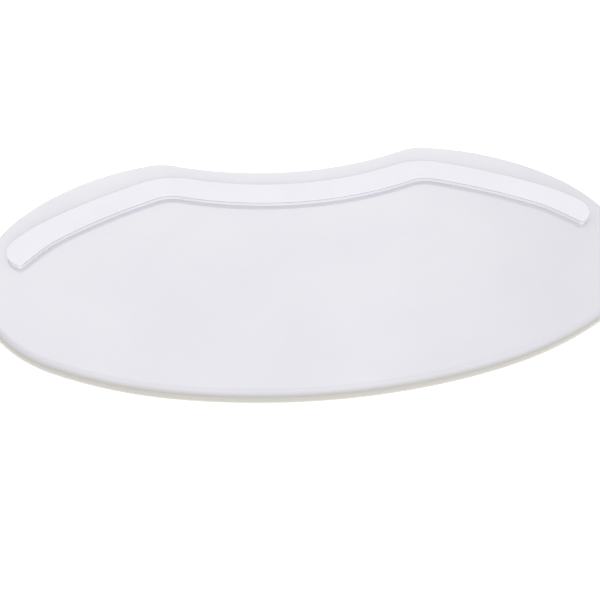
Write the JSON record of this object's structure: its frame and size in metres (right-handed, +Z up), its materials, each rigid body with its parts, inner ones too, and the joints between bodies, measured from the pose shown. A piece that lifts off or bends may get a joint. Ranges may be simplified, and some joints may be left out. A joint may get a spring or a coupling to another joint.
{
  "type": "transfer board",
  "caption": "Curved kidney-shaped sitting-transfer board with a glossy top, round rim, shallow rear notch, raised stop strip along the back edge and rubber grip pads underneath.",
  "frame": {"origin": "on the supporting surface, under the centre of the board's outline", "axes": "+X along the board's length, +Y across it towards the notch and the stop strip, +Z up out of the sliding surface"},
  "size_m": [0.7, 0.393, 0.0236],
  "materials": {
    "cap_plastic": "high gloss, smooth low-friction white sheet with a faint ripple",
    "panel_plastic": "fine leather-grain texture, light grey-white",
    "birch_ply": "sanded birch plywood, unseen inside the cap",
    "strip_plastic": "matte white, finely textured",
    "adhesive_tape": "double-sided adhesive film",
    "pad_rubber": "matt black rubber with fine ribs"
  },
  "bodies": {
    "root": {"top_cap": "cap_plastic", "plywood_core": "birch_ply", "bottom_panel": "panel_plastic", "stop_strip": "strip_plastic", "stop_strip_tape": "adhesive_tape", "grip_pad_left_outer": "pad_rubber", "grip_pad_left_inner": "pad_rubber", "grip_pad_middle": "pad_rubber", "grip_pad_right_inner": "pad_rubber", "grip_pad_right_outer": "pad_rubber", "grip_pad_left_outer_tape": "adhesive_tape", "grip_pad_left_inner_tape": "adhesive_tape", "grip_pad_middle_tape": "adhesive_tape", "grip_pad_right_inner_tape": "adhesive_tape", "grip_pad_right_outer_tape": "adhesive_tape"}
  },
  "joints": []
}
